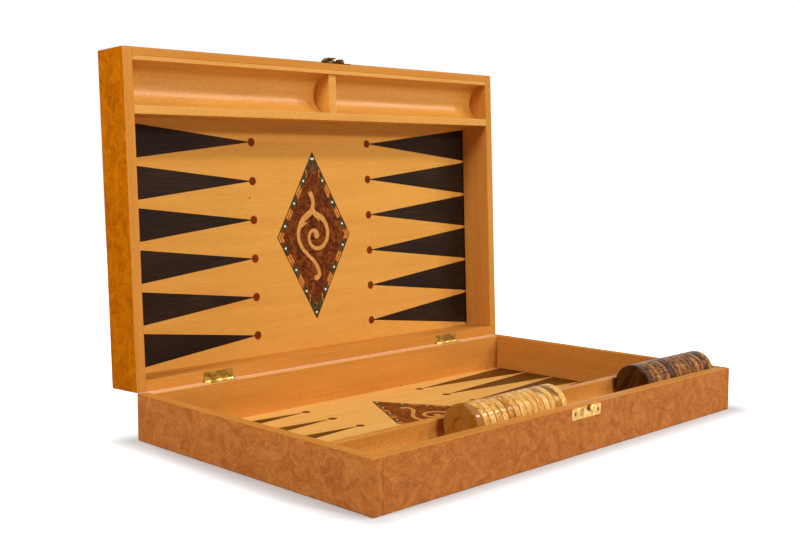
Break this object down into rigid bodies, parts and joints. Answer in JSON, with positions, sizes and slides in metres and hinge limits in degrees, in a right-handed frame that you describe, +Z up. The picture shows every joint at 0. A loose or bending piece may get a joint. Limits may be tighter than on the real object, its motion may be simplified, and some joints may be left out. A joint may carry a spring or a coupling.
{
  "type": "backgammon board",
  "caption": "Folding wooden backgammon case standing open, with checker troughs, inlaid points and diamonds, brass hinges, a hook catch and a set of checkers.",
  "frame": {"origin": "centre of the underside of the lower half, on the surface it stands on", "axes": "+X along the hinge pins to the right as seen from the catch, +Y from the catch towards the hinges, +Z up"},
  "size_m": [0.48, 0.3567, 0.3466],
  "materials": {
    "veneered_rail": "lacquered burl veneer outside",
    "beech": "satin lacquer",
    "dark_inlay": "satin lacquer",
    "red_inlay": "satin lacquer",
    "marquetry": "satin lacquer",
    "light_checker_wood": "gloss lacquer",
    "dark_checker_wood": "gloss lacquer",
    "brass": "polished"
  },
  "bodies": {
    "lower_half": {"lower_front_rail": "veneered_rail", "lower_back_rail": "veneered_rail", "lower_left_rail": "veneered_rail", "lower_right_rail": "veneered_rail", "lower_base_panel": "beech", "lower_checker_tray": "beech", "lower_tray_divider": "beech", "lower_points": "dark_inlay", "lower_point_dots": "red_inlay", "lower_medallion": "marquetry", "lower_screws": "brass", "left_hinge_lower_leaf": "brass", "right_hinge_lower_leaf": "brass", "hinge_pins": "brass", "lock_plate": "brass"},
    "upper_half": {"upper_front_rail": "veneered_rail", "upper_back_rail": "veneered_rail", "upper_left_rail": "veneered_rail", "upper_right_rail": "veneered_rail", "upper_base_panel": "beech", "upper_checker_tray": "beech", "upper_tray_divider": "beech", "upper_points": "dark_inlay", "upper_point_dots": "red_inlay", "upper_medallion": "marquetry", "upper_screws": "brass", "left_hinge_upper_leaf": "brass", "right_hinge_upper_leaf": "brass", "catch_plate": "brass"},
    "hook": {"catch_hook": "brass"},
    "light_checker_01": {"light_checker_01": "light_checker_wood"},
    "light_checker_02": {"light_checker_02": "light_checker_wood"},
    "light_checker_03": {"light_checker_03": "light_checker_wood"},
    "light_checker_04": {"light_checker_04": "light_checker_wood"},
    "light_checker_05": {"light_checker_05": "light_checker_wood"},
    "light_checker_06": {"light_checker_06": "light_checker_wood"},
    "light_checker_07": {"light_checker_07": "light_checker_wood"},
    "light_checker_08": {"light_checker_08": "light_checker_wood"},
    "light_checker_09": {"light_checker_09": "light_checker_wood"},
    "light_checker_10": {"light_checker_10": "light_checker_wood"},
    "light_checker_11": {"light_checker_11": "light_checker_wood"},
    "light_checker_12": {"light_checker_12": "light_checker_wood"},
    "light_checker_13": {"light_checker_13": "light_checker_wood"},
    "light_checker_14": {"light_checker_14": "light_checker_wood"},
    "light_checker_15": {"light_checker_15": "light_checker_wood"},
    "dark_checker_01": {"dark_checker_01": "dark_checker_wood"},
    "dark_checker_02": {"dark_checker_02": "dark_checker_wood"},
    "dark_checker_03": {"dark_checker_03": "dark_checker_wood"},
    "dark_checker_04": {"dark_checker_04": "dark_checker_wood"},
    "dark_checker_05": {"dark_checker_05": "dark_checker_wood"},
    "dark_checker_06": {"dark_checker_06": "dark_checker_wood"},
    "dark_checker_07": {"dark_checker_07": "dark_checker_wood"},
    "dark_checker_08": {"dark_checker_08": "dark_checker_wood"},
    "dark_checker_09": {"dark_checker_09": "dark_checker_wood"},
    "dark_checker_10": {"dark_checker_10": "dark_checker_wood"},
    "dark_checker_11": {"dark_checker_11": "dark_checker_wood"},
    "dark_checker_12": {"dark_checker_12": "dark_checker_wood"},
    "dark_checker_13": {"dark_checker_13": "dark_checker_wood"},
    "dark_checker_14": {"dark_checker_14": "dark_checker_wood"},
    "dark_checker_15": {"dark_checker_15": "dark_checker_wood"}
  },
  "joints": [
    {"name": "board_fold", "type": "hinge", "parent": "lower_half", "child": "upper_half", "pos_m": [0, 0.15003, 0.04155], "axis": [-1, 0, 0], "range_deg": [-92.17, 87.83]},
    {"name": "catch_swing", "type": "hinge", "parent": "upper_half", "child": "hook", "pos_m": [0.0123, 0.16703, 0.34115], "axis": [0, -0.0379, -0.9993], "range_deg": [-67.1, 90]},
    {"name": "checker_light_01_lift", "type": "slide", "parent": "lower_half", "child": "light_checker_01", "axis": [0, 0, 1], "range_m": [0, 0.05]},
    {"name": "checker_light_02_lift", "type": "slide", "parent": "lower_half", "child": "light_checker_02", "axis": [0, 0, 1], "range_m": [0, 0.05]},
    {"name": "checker_light_03_lift", "type": "slide", "parent": "lower_half", "child": "light_checker_03", "axis": [0, 0, 1], "range_m": [0, 0.05]},
    {"name": "checker_light_04_lift", "type": "slide", "parent": "lower_half", "child": "light_checker_04", "axis": [0, 0, 1], "range_m": [0, 0.05]},
    {"name": "checker_light_05_lift", "type": "slide", "parent": "lower_half", "child": "light_checker_05", "axis": [0, 0, 1], "range_m": [0, 0.05]},
    {"name": "checker_light_06_lift", "type": "slide", "parent": "lower_half", "child": "light_checker_06", "axis": [0, 0, 1], "range_m": [0, 0.05]},
    {"name": "checker_light_07_lift", "type": "slide", "parent": "lower_half", "child": "light_checker_07", "axis": [0, 0, 1], "range_m": [0, 0.05]},
    {"name": "checker_light_08_lift", "type": "slide", "parent": "lower_half", "child": "light_checker_08", "axis": [0, 0, 1], "range_m": [0, 0.05]},
    {"name": "checker_light_09_lift", "type": "slide", "parent": "lower_half", "child": "light_checker_09", "axis": [0, 0, 1], "range_m": [0, 0.05]},
    {"name": "checker_light_10_lift", "type": "slide", "parent": "lower_half", "child": "light_checker_10", "axis": [0, 0, 1], "range_m": [0, 0.05]},
    {"name": "checker_light_11_lift", "type": "slide", "parent": "lower_half", "child": "light_checker_11", "axis": [0, 0, 1], "range_m": [0, 0.05]},
    {"name": "checker_light_12_lift", "type": "slide", "parent": "lower_half", "child": "light_checker_12", "axis": [0, 0, 1], "range_m": [0, 0.05]},
    {"name": "checker_light_13_lift", "type": "slide", "parent": "lower_half", "child": "light_checker_13", "axis": [0, 0, 1], "range_m": [0, 0.05]},
    {"name": "checker_light_14_lift", "type": "slide", "parent": "lower_half", "child": "light_checker_14", "axis": [0, 0, 1], "range_m": [0, 0.05]},
    {"name": "checker_light_15_lift", "type": "slide", "parent": "lower_half", "child": "light_checker_15", "axis": [0, 0, 1], "range_m": [0, 0.05]},
    {"name": "checker_dark_01_lift", "type": "slide", "parent": "lower_half", "child": "dark_checker_01", "axis": [0, 0, 1], "range_m": [0, 0.05]},
    {"name": "checker_dark_02_lift", "type": "slide", "parent": "lower_half", "child": "dark_checker_02", "axis": [0, 0, 1], "range_m": [0, 0.05]},
    {"name": "checker_dark_03_lift", "type": "slide", "parent": "lower_half", "child": "dark_checker_03", "axis": [0, 0, 1], "range_m": [0, 0.05]},
    {"name": "checker_dark_04_lift", "type": "slide", "parent": "lower_half", "child": "dark_checker_04", "axis": [0, 0, 1], "range_m": [0, 0.05]},
    {"name": "checker_dark_05_lift", "type": "slide", "parent": "lower_half", "child": "dark_checker_05", "axis": [0, 0, 1], "range_m": [0, 0.05]},
    {"name": "checker_dark_06_lift", "type": "slide", "parent": "lower_half", "child": "dark_checker_06", "axis": [0, 0, 1], "range_m": [0, 0.05]},
    {"name": "checker_dark_07_lift", "type": "slide", "parent": "lower_half", "child": "dark_checker_07", "axis": [0, 0, 1], "range_m": [0, 0.05]},
    {"name": "checker_dark_08_lift", "type": "slide", "parent": "lower_half", "child": "dark_checker_08", "axis": [0, 0, 1], "range_m": [0, 0.05]},
    {"name": "checker_dark_09_lift", "type": "slide", "parent": "lower_half", "child": "dark_checker_09", "axis": [0, 0, 1], "range_m": [0, 0.05]},
    {"name": "checker_dark_10_lift", "type": "slide", "parent": "lower_half", "child": "dark_checker_10", "axis": [0, 0, 1], "range_m": [0, 0.05]},
    {"name": "checker_dark_11_lift", "type": "slide", "parent": "lower_half", "child": "dark_checker_11", "axis": [0, 0, 1], "range_m": [0, 0.05]},
    {"name": "checker_dark_12_lift", "type": "slide", "parent": "lower_half", "child": "dark_checker_12", "axis": [0, 0, 1], "range_m": [0, 0.05]},
    {"name": "checker_dark_13_lift", "type": "slide", "parent": "lower_half", "child": "dark_checker_13", "axis": [0, 0, 1], "range_m": [0, 0.05]},
    {"name": "checker_dark_14_lift", "type": "slide", "parent": "lower_half", "child": "dark_checker_14", "axis": [0, 0, 1], "range_m": [0, 0.05]},
    {"name": "checker_dark_15_lift", "type": "slide", "parent": "lower_half", "child": "dark_checker_15", "axis": [0, 0, 1], "range_m": [0, 0.05]}
  ]
}
